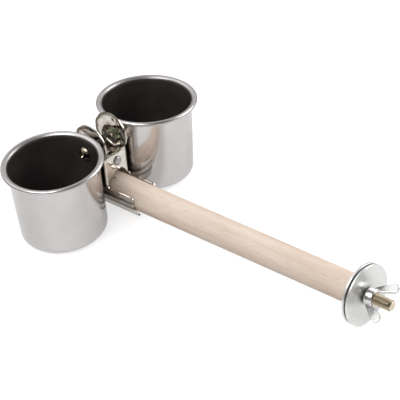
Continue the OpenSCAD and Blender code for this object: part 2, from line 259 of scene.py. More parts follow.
# %% A turned shape: radius against height, spun about Z
def turned(profile, steps=128, place=Matrix.Identity(4), closed=False):
    points, rings, length = [], [], [0.0]
    for i, (r, h) in enumerate(profile):
        if i:
            length.append(length[-1] + math.dist(profile[i - 1], (r, h)))
        if r < 1e-6:
            rings.append([len(points)])
            points.append(Vector((0, 0, h)))
        else:
            rings.append(list(range(len(points), len(points) + steps)))
            points += [Vector((r * math.cos(2 * math.pi * k / steps),
                               r * math.sin(2 * math.pi * k / steps), h)) for k in range(steps)]
    pairs = list(zip(rings, rings[1:], length, length[1:]))
    if closed:
        round_trip = length[-1] + math.dist(profile[-1], profile[0])
        pairs.append((rings[-1], rings[0], length[-1], round_trip))
    faces, uvs = [], []
    for low, high, v0, v1 in pairs:
        for k in range(steps):
            u0, u1, after = k / steps, (k + 1) / steps, (k + 1) % steps
            corners = [(low[k % len(low)], (u0, v0)), (low[after % len(low)], (u1, v0)),
                       (high[after % len(high)], (u1, v1)), (high[k % len(high)], (u0, v1))]
            kept = [c for i, c in enumerate(corners) if c[0] not in [d[0] for d in corners[:i]]]
            if len(kept) > 2:
                faces.append([c[0] for c in kept])
                uvs.append([c[1] for c in kept])
    return [place @ p for p in points], faces, uvs


def lathe(name, profile, steps, place, finish, sharp=SHARP, closed=False):
    points, faces = turned(profile, steps, place, closed)[:2]
    return piece(name, points, faces, finish, sharp)


def arc(centre, r, start, end, steps=12):
    angles = [math.radians(start + (end - start) * i / steps) for i in range(steps + 1)]
    return [(centre[0] + r * math.cos(a), centre[1] + r * math.sin(a)) for a in angles]


ALONG_X = Matrix.Rotation(math.pi / 2, 4, "Y")


def along_x(x, z=0):
    return Matrix.Translation((x, 0, z)) @ ALONG_X


print("Z turned to X:", (ALONG_X @ Vector((0, 0, 1))).to_tuple(3))


# %% A bar, and cutting one closed mesh with another
def prism(corners, first=0):
    """The faces of a bar whose two ends have so many corners each, numbered from `first`."""
    near, far = [[start + i for i in range(corners)] for start in (first, first + corners)]
    sides = zip(near, near[1:] + near[:1], far[1:] + far[:1], far)
    return [near[::-1], far] + [list(side) for side in sides]


def baked(obj):
    deps = bpy.context.evaluated_depsgraph_get()
    mesh = bpy.data.meshes.new_from_object(obj.evaluated_get(deps))
    obj.modifiers.clear()
    obj.data = mesh
    return obj


def carve(obj, cutter, operation="DIFFERENCE"):
    cut = obj.modifiers.new("cut", "BOOLEAN")
    cut.operation, cut.object, cut.solver = operation, cutter, "EXACT"
    baked(obj)
    bpy.data.objects.remove(cutter)


def drill_bit(r, low, high, bottom, top):
    """A drill that also bevels both ends of its hole: each is a radius and a depth."""
    (r0, depth0), (r1, depth1) = bottom, top
    return [(0, low - 1), (r0, low - 1), (r0, low), (r, low + depth0), (r, high - depth1),
            (r1, high), (r1, high + 1), (0, high + 1)]


print("a hexagonal bar has", len(prism(6)), "faces")

# %% [markdown]
# ## Helpers for nodes
#
# Materials, the sky and Geometry Nodes are all trees of nodes. `add_node` makes one node, sets it
# up, and gives each of its inputs a value or a link from another node. A finish is a small tree
# around one Principled shader, and `Finish` keeps the code for it short. Values that are the same
# all over are set on the shader itself, so that they survive an export.

# %% A node in any tree
def add_node(tree, kind, inputs=None, **settings):
    made = tree.nodes.new(kind)
    for key, value in settings.items():
        setattr(made, key, value)
    for key, value in (inputs or {}).items():
        if isinstance(value, bpy.types.NodeSocket):
            tree.links.new(value, made.inputs[key])
        else:
            made.inputs[key].default_value = value
    return made


def set_stops(ramp, stops):
    while len(ramp.elements) < len(stops):
        ramp.elements.new(0.5)
    for element, (place, colour) in zip(ramp.elements, stops):
        element.position, element.color = place, (*colour, 1)


def greys(stops, tint=(1, 1, 1)):
    return [(place, [level * t for t in tint]) for place, level in stops]


print("half grey:", greys([(0.0, 0.5)]))


# %% A finish and its nodes
class Finish:
    def __init__(self, name, **constants):
        self.material = bpy.data.materials.new(name)
        self.material.use_nodes = True
        self.tree = self.material.node_tree
        self.shader = self.tree.nodes["Principled BSDF"]
        for key, value in constants.items():
            self.shader.inputs[key.replace("_", " ")].default_value = value
        self.where = self.tree.nodes.new("ShaderNodeTexCoord").outputs

    def add(self, kind, inputs=None, **settings):
        return add_node(self.tree, "ShaderNode" + kind, inputs, **settings)

    def scaled(self, scale, coords=None, turn=(0, 0, 0), shift=(0, 0, 0)):
        source = self.where["Object"] if coords is None else coords
        return self.add("Mapping", {"Vector": source, "Scale": scale, "Rotation": turn,
                                    "Location": shift}).outputs["Vector"]

    def noise(self, coords, detail=3.0, rough=0.5):
        return self.add("TexNoise", {"Vector": coords, "Scale": 1.0, "Detail": detail,
                                     "Roughness": rough}).outputs["Fac"]

    def part(self, axis, vector=None):
        source = self.where["Object"] if vector is None else vector
        return self.add("SeparateXYZ", {"Vector": source}).outputs[axis]

    def distance(self, point, axes="XYZ"):
        """How far a spot is from a point, measured along the named axes alone."""
        spot = self.add("CombineXYZ", {axis: self.part(axis) for axis in axes})
        return self.add("VectorMath", {0: spot.outputs["Vector"], 1: [c * MM for c in point]},
                        operation="DISTANCE").outputs["Value"]

    def ramp(self, fac, *stops):
        node = self.add("ValToRGB", {"Fac": fac})
        set_stops(node.color_ramp, stops)
        return node.outputs["Color"]

    def number(self, fac, low, high, start=0.0, end=1.0):
        return self.add("MapRange", {"Value": fac, "From Min": start, "From Max": end,
                                     "To Min": low, "To Max": high}).outputs["Result"]

    def mix(self, fac, a, b):
        a, b = [(*c, 1) if isinstance(c, tuple) else c for c in (a, b)]
        return self.add("Mix", {0: fac, 6: a, 7: b}, data_type="RGBA").outputs[2]

    def maths(self, operation, a, b=0.0):
        return self.add("Math", {0: a, 1: b}, operation=operation).outputs[0]

    def wire(self, **links):
        for key, socket in links.items():
            self.tree.links.new(socket, self.shader.inputs[key.replace("_", " ")])

    def bumps(self, height, depth, strength=1.0, under=None):
        inputs = {"Height": height, "Distance": depth * MM, "Strength": strength}
        if under is not None:
            inputs["Normal"] = under
        return self.add("Bump", inputs).outputs["Normal"]

    def darken(self, fac, colour):
        """Lays a dark colour over the one that the finish has so far."""
        plain = self.shader.inputs["Base Color"].links[0].from_socket
        self.wire(Base_Color=self.mix(fac, plain, colour))


print("a finish can:", [name for name in vars(Finish) if name[0] != "_"])

# %% [markdown]
# ## The wood
#
# The perch is bare, sanded beech. Beech has hardly any visible rings on its long side: fine fibres
# run along the grain, with short darker flecks. Noise that is stretched along X makes both, and
# rings about a point outside the stick show on the sawn ends. By the clip, where it slides, the
# wood has dark scrapes and one small knot.

# %% Finish: bare beech, its fibres and flecks
wood = Finish("bare_beech", IOR=1.45)
fibre = wood.noise(wood.scaled((90, 1500, 1500)), detail=5, rough=0.6)
broad = wood.noise(wood.scaled((14, 150, 150)), detail=2)
fleck = wood.noise(wood.scaled((220, 2600, 2600), shift=(4, 1, 7)), detail=1)
colour = wood.ramp(broad, (0.30, (0.74, 0.59, 0.48)), (0.52, (0.82, 0.69, 0.59)),
                   (0.72, (0.87, 0.76, 0.67)))
colour = wood.mix(wood.number(fibre, 0.0, 0.32, 0.42, 0.68), colour, (0.58, 0.42, 0.31))
colour = wood.mix(wood.number(fleck, 0.0, 0.45, 0.65, 0.75), colour, (0.38, 0.24, 0.15))
print("wood nodes so far:", len(wood.tree.nodes))

# %% The rings on the sawn ends
PITH = (0, 11, -17)
RING_RATE = 4200.0
year = wood.maths("SINE", wood.maths("MULTIPLY", wood.distance(PITH, "YZ"), RING_RATE))
rings = wood.mix(wood.number(year, 0.0, 0.5, -0.2, 1.0), (0.55, 0.40, 0.28), (0.38, 0.25, 0.16))
facing = wood.part("X", wood.add("NewGeometry").outputs["True Normal"])
end_grain = wood.number(wood.maths("ABSOLUTE", facing), 0.0, 1.0, 0.9, 0.97)
colour = wood.mix(end_grain, colour, rings)
print("one ring every", round(2 * math.pi / RING_RATE / MM, 2), "mm")

# %% The scrapes and the knot by the clip
KNOT = (-162.4, -2.7, 7.2)
scrape = wood.noise(wood.scaled((45, 3000, 3000), shift=(2, 9, 4)), detail=2)
near_clip = wood.number(wood.part("X"), 1.0, 0.0, -155 * MM, -128 * MM)
scraped = wood.maths("MULTIPLY", near_clip, wood.number(scrape, 0.0, 0.8, 0.56, 0.68))
colour = wood.mix(scraped, colour, (0.40, 0.27, 0.18))
knot = wood.number(wood.distance(KNOT), 0.75, 0.0, 0.3 * MM, 1.2 * MM)
colour = wood.mix(knot, colour, (0.24, 0.12, 0.07))
wood.wire(Base_Color=colour, Roughness=wood.number(fibre, 0.55, 0.75),
          Normal=wood.bumps(fibre, 0.06, 0.5, wood.bumps(broad, 0.1, 0.4)))
print("wood nodes:", len(wood.tree.nodes))

# %% [markdown]
# ## The metals
#
# All the metal is plated or stainless steel, so what tells the pieces apart is colour, how sharp
# the reflections are, and the marks of making. The cups are spun and softly polished, the clip is
# bright nickel, the washers and the wing nut are zinc, and the stud is yellow-passivated.
# A plated metal has blotches between a light and a dark colour, fine scratches, and a slightly
# uneven surface: `wave` is how deep, and `wave_size` how fine.

# %% A plated metal
def metal(name, light, dark, shine, dull, blotch=900, wave=0.02, wave_size=260, grit=0.0):
    made = Finish(name, Metallic=1.0)
    blotches = made.noise(made.scaled((blotch,) * 3), detail=4, rough=0.6)
    scratches = made.noise(made.scaled((5000, 420, 2600), turn=(0.4, 0.7, 0.2)), detail=2)
    swell = made.noise(made.scaled((wave_size,) * 3, shift=(3, 5, 1)), detail=1)
    colour = made.ramp(blotches, (0.34, dark), (0.66, light))
    rough = made.maths("ADD", made.number(blotches, shine, dull, 0.3, 0.7),
                       made.number(scratches, -0.03, 0.06, 0.35, 0.7))
    normal = made.bumps(swell, wave)
    if grit:
        normal = made.bumps(made.noise(made.scaled((9000,) * 3), detail=2), grit, 1.0, normal)
    made.wire(Base_Color=colour, Roughness=rough, Normal=normal)
    return made


zinc = metal("bright_zinc", (0.88, 0.88, 0.875), (0.80, 0.81, 0.79), 0.30, 0.42,
             blotch=420, wave=0.015, grit=0.004)
nut_zinc = metal("cast_zinc_plate", (0.88, 0.875, 0.86), (0.80, 0.795, 0.78), 0.18, 0.25,
                 blotch=400, wave=0.10)
pin_steel = metal("peened_steel", (0.62, 0.61, 0.60), (0.30, 0.29, 0.28), 0.26, 0.42,
                  blotch=1500, wave=0.12, wave_size=900)
spring_steel = metal("spring_wire", (0.50, 0.49, 0.47), (0.36, 0.35, 0.34), 0.22, 0.34)
screw_steel = metal("screw_plate", (0.44, 0.39, 0.31), (0.28, 0.24, 0.18), 0.12, 0.20, wave=0.03)
nut_plate = metal("green_passivated_nut", (0.68, 0.71, 0.58), (0.46, 0.50, 0.38), 0.24, 0.36)
print("the last metal:", nut_plate.material.name)


# %% The stud's yellow plating, with painted shade in the thread roots
def painted_root_shade(made, crest, root):
    """Paints shade into the roots of a thread about the X axis: they are coloured darker."""
    r = made.distance((0, 0, 0), "YZ")
    root_shade = made.maths("MULTIPLY", made.number(r, 1.0, 0.0, root * MM, crest * MM),
                           made.maths("GREATER_THAN", r, (root - 0.05) * MM))
    made.darken(root_shade, (0.06, 0.04, 0.02))


passivated = metal("yellow_passivated_steel", (0.86, 0.76, 0.60), (0.66, 0.57, 0.41), 0.28, 0.40,
                   blotch=500)
painted_root_shade(passivated, 2.9, 2.42)
print("stud nodes:", len(passivated.tree.nodes))

# %% The clip's nickel, with painted reflections and shade as dark lines by height on the lips and by radius on the tabs
LIP_PAINTED_REFLECTIONS = ((0.0, 0.9), (0.12, 0.8), (0.20, 0.05), (0.38, 0.05), (0.45, 0.85), (0.55, 0.8),
             (0.62, 0.1), (0.68, 0.1), (0.73, 0.8), (0.79, 0.7), (0.86, 0.0))
TAB_REFLECTION_AND_SHADE = ((0.0, 0.0), (0.32, 0.35), (0.55, 0.95), (0.88, 0.95), (0.95, 0.0))


def painted_reflection_lines(made):
    """Paints reflections and shade as dark lines: along the lips, where they wrap, and round the tabs."""
    waver = made.noise(made.scaled((45, 260, 260), shift=(1, 2, 5)), detail=2)

    def lines(place, uneven, start, end, stops):
        shift = made.number(waver, -uneven * MM, uneven * MM, 0.3, 0.7)
        place = made.number(made.maths("ADD", place, shift), 0.0, 1.0, start * MM, end * MM)
        return made.ramp(place, *greys(stops))

    on_lips = lines(made.part("Z"), 0.8, -9, 4, LIP_PAINTED_REFLECTIONS)
    on_tabs = lines(made.distance((CLIP_X, 0, TAB_Z), "XZ"), 0.7, 8, 11, TAB_REFLECTION_AND_SHADE)
    # painted shade round the tabs: darkest on their -X side
    fade = made.number(made.part("X"), 1.0, 0.35, (CLIP_X - 3) * MM, (CLIP_X + 6) * MM)
    on_tabs = made.maths("MULTIPLY", on_tabs, fade)
    made.darken(made.maths("MAXIMUM", on_lips, on_tabs), (0.12, 0.09, 0.06))


nickel = metal("bright_nickel", (0.78, 0.74, 0.69), (0.62, 0.57, 0.51), 0.04, 0.07,
               blotch=330, wave=0.5, wave_size=170)
painted_reflection_lines(nickel)
print("clip nodes:", len(nickel.tree.nodes))

# %% [markdown]
# The cups are spun from thin stainless sheet. Spinning leaves very fine rings round the wall, so
# the bump follows the height on the piece's own UV map. The inside is painted shade: a dull, near
# black colour without metal, in place of the dark reflections of the polished inner wall. The rolled
# rim, which no polishing wheel reaches well, is a little softer than the wall. Two attributes on
# the mesh say which points get the painted shade inside and which are on the rim.

# %% Finish: spun stainless steel
spun = Finish("spun_stainless")
lines = spun.noise(spun.scaled((6, 14, 1), coords=spun.where["UV"]), detail=3, rough=0.7)
soft = spun.noise(spun.scaled((60, 60, 60)), detail=2)
inside, rim = [spun.add("Attribute", attribute_name=n).outputs["Fac"] for n in ("inside", "rim")]
outside = spun.maths("SUBTRACT", 1.0, inside)
bright = spun.ramp(soft, (0.35, (0.60, 0.575, 0.575)), (0.65, (0.645, 0.62, 0.62)))
# painted shade: the inner wall is near black and not metallic, in place of its dark reflections
dark = spun.ramp(soft, (0.35, (0.032, 0.027, 0.026)), (0.65, (0.050, 0.043, 0.042)))
rough_out = spun.maths("ADD", spun.number(lines, 0.10, 0.17, 0.3, 0.7),
                       spun.number(rim, 0.0, 0.16))
rough_in = spun.number(lines, 0.18, 0.26, 0.3, 0.7)
spun.wire(Base_Color=spun.mix(inside, bright, dark), Metallic=outside,
          Roughness=spun.maths("ADD", spun.maths("MULTIPLY", inside, rough_in),
                               spun.maths("MULTIPLY", outside, rough_out)),
          Normal=spun.bumps(lines, 0.004, 0.6, spun.bumps(soft, 0.12, 0.5)))
print("materials:", [m.name for m in bpy.data.materials])

# %% [markdown]
# ## The perch
#
# A dowel is turned, so its mesh is a profile spun about its axis: two sawn ends with a small
# rounded edge. The wall is cut into short rings, which gives the smooth shading something to hold.
# A finished piece stands in for one node of the frame: it takes the node's place and material slot,
# and it moves with the node's body.

# %% The dowel
def stand_in(made, node, slot, body):
    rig.replaces(made, node)
    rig.slot(made, slot)
    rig.ride(made, body)
    print(made.name, "faces:", len(made.data.polygons))


EDGE, DOWEL_RINGS = 0.9, 24
low, high = DOWEL_ENDS
length = high - low
profile = [(0, 0), (DOWEL_R * 0.5, 0)] + arc((DOWEL_R - EDGE, EDGE), EDGE, -90, 0, 6)
profile += [(DOWEL_R, length * i / DOWEL_RINGS) for i in range(1, DOWEL_RINGS)]
profile += arc((DOWEL_R - EDGE, length - EDGE), EDGE, 0, 90, 6)
profile += [(DOWEL_R * 0.5, length), (0, length)]
dowel = lathe("turned_dowel", profile, 160, along_x(low), wood)
stand_in(dowel, "perch_dowel", "wood", "perch")

# %% [markdown]
# ## Threads with Geometry Nodes
#
# A thread repeats once per pitch, so it is a rule and not a drawing. The tree starts from a flat
# grid, with one side along the rod and the other round it. A triangle wave of height and angle
# together gives the helix, and Set Position wraps the grid into a rod. The ends are pulled in to
# the bevel and then to the axis, so the mesh is closed. Every tree starts with named sockets for
# its sizes and ends in Realize Instances and Set Material.

# %% How every tree starts and ends
def new_tree(name, **sizes):
    tree = bpy.data.node_groups.new(name, "GeometryNodeTree")
    face = tree.interface
    face.new_socket("Geometry", in_out="INPUT", socket_type="NodeSocketGeometry")
    for key, value in sizes.items():
        kind = "NodeSocketInt" if isinstance(value, int) else "NodeSocketFloat"
        face.new_socket(key, in_out="INPUT", socket_type=kind).default_value = value
    face.new_socket("Finish", in_out="INPUT", socket_type="NodeSocketMaterial")
    face.new_socket("Geometry", in_out="OUTPUT", socket_type="NodeSocketGeometry")
    return tree, tree.nodes.new("NodeGroupInput").outputs


def end_tree(tree, shape, finish):
    real = add_node(tree, "GeometryNodeRealizeInstances", {"Geometry": shape})
    done = add_node(tree, "GeometryNodeSetMaterial",
                    {"Geometry": real.outputs["Geometry"], "Material": finish})
    add_node(tree, "NodeGroupOutput", {"Geometry": done.outputs["Geometry"]})
    print(tree.name, "nodes:", len(tree.nodes))
    return tree


print("trees so far:", len(bpy.data.node_groups))

# %% The tree for a threaded rod
STEPS_ROUND = 73
FLANK = (0.12, 0.88)


def thread_tree():
    tree, given = new_tree("threaded rod", Length=0.02, Pitch=0.001, Crest=0.003, Root=0.0025,
                           Bevel=0.001, Rows=200)

    def node(kind, inputs, **settings):
        return add_node(tree, kind, inputs, **settings).outputs

    def do(operation, a, b=0.0, c=0.0):
        return node("ShaderNodeMath", {0: a, 1: b, 2: c}, operation=operation)[0]

    grid = node("GeometryNodeMeshGrid", {"Size X": 1.0, "Size Y": 1.0,
                                         "Vertices X": given["Rows"], "Vertices Y": STEPS_ROUND})
    spot = node("ShaderNodeSeparateXYZ", {0: node("GeometryNodeInputPosition", {})[0]})
    along = do("ADD", spot["X"], 0.5)
    turn = do("ADD", spot["Y"], 0.5)
    height = do("MULTIPLY", along, given["Length"])
    # where this spot is between one crest and the next, then the height of the triangle wave
    phase = do("FRACT", do("ADD", do("SUBTRACT", do("DIVIDE", height, given["Pitch"]), turn), 8.0))
    wave = do("SUBTRACT", 1.0, do("ABSOLUTE", do("SUBTRACT", do("MULTIPLY", phase, 2.0), 1.0)))
    flank = node("ShaderNodeMapRange", {"Value": wave, "From Min": FLANK[0],
                                        "From Max": FLANK[1]}, interpolation_type="SMOOTHSTEP")[0]
    deep = do("SUBTRACT", given["Crest"], given["Root"])
    radius = do("MULTIPLY_ADD", flank, deep, given["Root"])
    # the bevel, and both end rows pulled in to the axis
    to_end = do("SUBTRACT", given["Length"], height)
    end_radius = do("SUBTRACT", given["Crest"], given["Bevel"])
    bevelled = do("MINIMUM", radius, do("ADD", end_radius, to_end))
    ends = do("MULTIPLY", do("GREATER_THAN", along, 0.0001), do("LESS_THAN", along, 0.9999))
    closed = do("MULTIPLY", bevelled, ends)
    angle = do("MULTIPLY", turn, 2 * math.pi)
    place = node("ShaderNodeCombineXYZ", {"X": height,
                                          "Y": do("MULTIPLY", closed, do("COSINE", angle)),
                                          "Z": do("MULTIPLY", closed, do("SINE", angle))})[0]
    wrapped = node("GeometryNodeSetPosition", {"Geometry": grid["Mesh"], "Position": place})
    welded = node("GeometryNodeMergeByDistance",
                  {"Geometry": wrapped["Geometry"], "Distance": 0.000002})
    return end_tree(tree, welded["Geometry"], given["Finish"])


THREAD = thread_tree()


# %% Using a tree: inputs are set by identifier, and the result becomes a plain mesh
def grown(name, tree, values, finish, start=None, place=Matrix.Identity(4)):
    obj = placed(name, start or bpy.data.meshes.new(name))
    modifier = obj.modifiers.new("grow", "NODES")
    modifier.node_group = tree
    sockets = {s.name: s.identifier for s in tree.interface.items_tree if s.in_out == "INPUT"}
    for key, value in values.items():
        modifier[sockets[key]] = value
    modifier[sockets["Finish"]] = finish.material
    mesh = baked(obj).data.copy()
    bpy.data.objects.remove(obj)
    mesh.transform(place)
    return settle(name, mesh, finish)


def threaded(name, finish, place, rows, **sizes):
    values = {"Rows": rows, **{key: size * MM for key, size in sizes.items()}}
    return grown(name, THREAD, values, finish, place=place)


print("trees so far:", [tree.name for tree in bpy.data.node_groups])

# %% [markdown]
# ## The stud
#
# The stud is a hanger bolt: a wood screw inside the perch and a metric M6 thread outside. The M6
# thread climbs 1 mm per turn. Its crests are at the real 6 mm, and its free end is bevelled.

# %% Stud: the machine thread and the hidden wood thread
STUD_END, STUD_LEN = 17.6, 23.8
WOOD_END, WOOD_R, WOOD_LEN = -31.2, 2.5, 24.9
TIP_R, TIP_H, CONE_H = 0.4, 0.8, 5.0
stud = threaded("stud_thread", passivated,
                Matrix.Translation(Vector((STUD_END - STUD_LEN, 0, 0)) * MM), rows=24 * 11,
                Length=STUD_LEN, Pitch=1.0, Crest=2.99, Root=2.43, Bevel=1.0)
tip = [(0, 0)] + [(TIP_R + (WOOD_R - TIP_R) * i / 6, TIP_H + (CONE_H - TIP_H) * i / 6)
                  for i in range(7)]
tip += [(WOOD_R, 20.0), (WOOD_R, WOOD_LEN), (0, WOOD_LEN)]
screw_end = lathe("stud_wood_end", tip, 48, along_x(WOOD_END), passivated)
for part in (stud, screw_end):
    stand_in(part, "hanger_bolt", "yellow_zinc", "perch")

# %% [markdown]
# ## The washers
#
# A stamped washer has one edge rounded by the punch and one that is nearly sharp. Both show in the
# photograph as two bright lines with a dark gap between them.

# %% Washers
WASHER_R, WASHER_T = 16.0, 1.2
PUNCHED, SHEARED = 0.4, 0.12


def washer(name, x, bore, node, body):
    r, t = WASHER_R, WASHER_T
    shape = [(bore, 0.1), (bore + SHEARED, 0), (r - 0.15, 0)]
    shape += arc((r - SHEARED, SHEARED), SHEARED, -90, 0, 3)
    shape += arc((r - PUNCHED, t - PUNCHED), PUNCHED, 0, 90, 6)
    shape += [(bore + 0.2, t), (bore, t - 0.15)]
    made = lathe(name, shape, 256, along_x(x), zinc, sharp=50, closed=True)
    stand_in(made, node, "zinc", body)


washer("washer_at_perch", x=-1.2, bore=3.06, node="inner_washer", body="perch")
washer("washer_at_nut", x=1.1, bore=3.2, node="outer_washer", body="clamp_washer")

# %% [markdown]
# ## The wing nut
#
# A forged wing nut has no sharp corner anywhere: boss and wings flow together. Closed shapes that
# are fused, remeshed to small voxels and smoothed get those fillets by themselves. The bore is cut
# last, so it stays crisp.

# %% Wing nut: the boss and two wings, as closed shapes that overlap
NUT_X, BOSS_H, BOSS_R, BOSS_TOP_R = 2.4, 5.0, 4.9, 4.4
WING_SPAN, WING_H, WING_T, WING_TIP_R = 22.4, 13.3, 2.2, 2.6
WING_TURN = math.radians(28)
boss = [(0, 0), (BOSS_R * 0.8, 0), (BOSS_R, BOSS_H * 0.22), (BOSS_TOP_R, BOSS_H * 0.92),
        (BOSS_TOP_R * 0.92, BOSS_H), (0, BOSS_H)]
nut_points, nut_faces = turned(boss, 64)[:2]
tip = (WING_SPAN / 2 - WING_TIP_R, WING_H - WING_TIP_R)
slope = math.degrees(math.atan2(tip[1] - BOSS_H / 2, tip[0] - BOSS_TOP_R * 0.9))
outline = [(0, BOSS_H * 0.2), (BOSS_R * 0.9, BOSS_H * 0.2)]
outline += arc(tip, WING_TIP_R, slope - 90, slope + 90, 16)
outline += [(BOSS_TOP_R * 0.84, BOSS_H * 0.95), (0, BOSS_H * 0.95)]
for side in (0, math.pi):
    turn = Matrix.Rotation(side, 4, "Z")
    nut_faces += prism(len(outline), len(nut_points))
    for y in (-WING_T / 2, WING_T / 2):
        nut_points += [turn @ Vector((r, y, h)) for r, h in outline]
# the wings lie at an angle about the stud, from the level
lie = (Matrix.Translation((NUT_X, 0, 0)) @ Matrix.Rotation(WING_TURN, 4, "X") @ ALONG_X
       @ Matrix.Rotation(math.pi / 2, 4, "Z"))
wing_nut = piece("wing_nut_forged", [lie @ p for p in nut_points], nut_faces, nut_zinc)
print("wing nut before fusing, faces:", len(wing_nut.data.polygons))

# %% Wing nut: fused, softened and drilled
VOXEL, SOFTENING, PASSES = 0.15, 0.5, 18
NUT_BORE = 3.05
voxels = wing_nut.modifiers.new("voxels", "REMESH")
voxels.mode, voxels.voxel_size = "VOXEL", VOXEL * MM
soften = wing_nut.modifiers.new("soften", "SMOOTH")
soften.factor, soften.iterations = SOFTENING, PASSES
baked(wing_nut)
bore = drill_bit(NUT_BORE, 0, BOSS_H, (NUT_BORE + 0.5, 0.5), (NUT_BORE + 0.45, 0.45))
carve(wing_nut, lathe("drill", bore, 96, along_x(NUT_X), nut_zinc))
stand_in(smoothed(wing_nut, SHARP), "wing_nut", "zinc", "clamp_nut")

# %% [markdown]
# ## The clip's jaws
#
# Each jaw is one stamped sheet: a long lip that wraps the dowel, a plate, two ears bent at right
# angles round the pin, and a round thumb tab with a pressed dish. It is made as a press would make
# it. The flat blank is drawn first, in distance across and height, and filled with an even mesh.
# Each point is then carried to its place on the bent sheet, and the sheet gets its thickness last,
# so the wall is the same everywhere and all bends are smooth.

# %% The blank: outline and holes in the flat
INNER_EAR = OUTER_EAR - SHEET - 0.15
BEND_R = 0.9
BEND_LEN = BEND_R * math.pi / 2
LIP_TOP, LIP_ROUND, HALF_LIP, LIP_CORNER = 4.0, 2.0, 27.5, 0.6
LIP_R = GRIP_IN + SHEET / 2
FLARE, FLARE_LEN = math.radians(33), 4.8
LEAVE_Z = LIP_R * math.sin(LEAVE)
ARC_LEN = LIP_R * (LEAVE + FLARE)
LIP_LOW = LEAVE_Z - ARC_LEN - FLARE_LEN
EAR_FAR, EAR_ROUND, ROOT_ROUND, NOTCH_R = PLATE_IN * 0.75, 2.2, LIP_ROUND * 0.6, 0.45
SCREW_HOLE_R, PIN_HOLE_R = 2.05, 1.65


def smooth_step(x, start, end):
    t = np.clip((x - start) / (end - start), 0, 1)
    return t * t * (3 - 2 * t)


def ear_u(flat_half, y):
    """Distance across the blank, from its middle, of a point of the ear that ends up at y."""
    return flat_half + BEND_LEN + (PLATE_OUT - SHEET / 2 - BEND_R - y)


def blank(half):
    """Half the outline, from the lip's low edge to the top of the tab, then its mirror image."""
    flat_half = half - BEND_R - SHEET / 2
    right = [(0, LIP_LOW), (HALF_LIP - 0.5, LIP_LOW)]
    right += arc((HALF_LIP - LIP_CORNER, LIP_LOW + LIP_CORNER), LIP_CORNER, -90, 0, 5)
    right += arc((HALF_LIP - LIP_ROUND, LIP_TOP - LIP_ROUND), LIP_ROUND, 0, 90, 8)
    root = flat_half + BEND_LEN + 0.2
    right += arc((root + ROOT_ROUND, LIP_TOP + ROOT_ROUND), ROOT_ROUND, 270, 180, 8)
    for angle in np.linspace(12, 88, 16):
        u = ear_u(flat_half, ARCH_R * math.cos(math.radians(angle)))
        z = ARCH_Z + ARCH_R * math.sin(math.radians(angle))
        if u > root and z > LIP_TOP + LIP_ROUND * 0.7:
            right.append((u, z))
    far = ear_u(flat_half, -EAR_FAR) - EAR_ROUND
    right += [(ear_u(flat_half, 0), ARCH_TOP)]
    right += arc((far, ARCH_TOP + EAR_ROUND), EAR_ROUND, -90, 0, 8)
    right += arc((far, EAR_Z - EAR_ROUND), EAR_ROUND, 0, 90, 8)
    # a small round notch where the ear leaves the neck, then the round tab
    right += [(flat_half + BEND_LEN * 0.8, EAR_Z)]
    right += arc((flat_half - 0.2, EAR_Z + NOTCH_R), NOTCH_R, -90, -180, 4)
    start = math.asin((EAR_Z + 1.0 - TAB_Z) / TAB_R)
    tab = [(TAB_R * math.cos(a), TAB_Z + TAB_R * math.sin(a))
           for a in np.linspace(start, math.pi / 2, 40)]
    right += [p for p in tab if p[1] > EAR_Z + 0.8]
    left = [(-u, z) for u, z in right[::-1] if u > 1e-6]
    holes = [arc((0, SCREW_Z), SCREW_HOLE_R, 0, 348.75, 31)]
    holes += [arc((side * ear_u(flat_half, 0), PIN_Z), PIN_HOLE_R, 0, 345, 23)
              for side in (-1, 1)]
    return flat_half, [right + left] + holes


print("blank points:", [len(loop) for loop in blank(OUTER_EAR)[1]])


# %% Filling the blank with an even mesh
def inside_loop(points, loop):
    x, y = points[:, 0], points[:, 1]
    found = np.zeros(len(points), bool)
    for (x0, y0), (x1, y1) in zip(loop, loop[1:] + loop[:1]):
        if y0 != y1:
            crosses = (y0 > y) != (y1 > y)
            found ^= crosses & (x < (x1 - x0) * (y - y0) / (y1 - y0) + x0)
    return found


def on_sheet(points, loops):
    keep = inside_loop(points, loops[0])
    for hole in loops[1:]:
        keep &= ~inside_loop(points, hole)
    return keep


def divided(loop, step):
    out = []
    for a, b in zip(loop, loop[1:] + loop[:1]):
        parts = max(1, int(math.dist(a, b) / step))
        out += [(a[0] + (b[0] - a[0]) * i / parts, a[1] + (b[1] - a[1]) * i / parts)
                for i in range(parts)]
    return out


def filled(loops, step):
    loops = [divided(loop, step) for loop in loops]
    outline = np.array(loops[0])
    (u0, z0), (u1, z1) = outline.min(0), outline.max(0)
    rows = np.arange(z0, z1, step * 0.87)
    grid = np.array([(u + (i % 2) * step / 2, z) for i, z in enumerate(rows)
                     for u in np.arange(u0, u1, step)])
    grid = grid[on_sheet(grid, loops)]
    edge = np.array([p for loop in loops for p in loop])
    near = np.array([np.min(np.sum((edge - p) ** 2, axis=1)) for p in grid])
    grid = grid[near > (step * 0.55) ** 2]
    points = [Vector(p) for p in edge.tolist() + grid.tolist()]
    edges, first = [], 0
    for loop in loops:
        edges += [(first + i, first + (i + 1) % len(loop)) for i in range(len(loop))]
        first += len(loop)
    verts, _, faces, *_ = delaunay_2d_cdt(points, edges, [], 0, 1e-5)
    flat = np.array([tuple(v) for v in verts])
    middle = np.array([flat[list(f)].mean(0) for f in faces])
    return flat, [tuple(f) for f, keep in zip(faces, on_sheet(middle, loops)) if keep]


print("a square of 2 mm gets", len(filled([[(0, 0), (2, 0), (2, 2), (0, 2)]], 0.5)[1]), "faces")

# %% Carrying the blank to its bent form
HOLLOW = 0.45


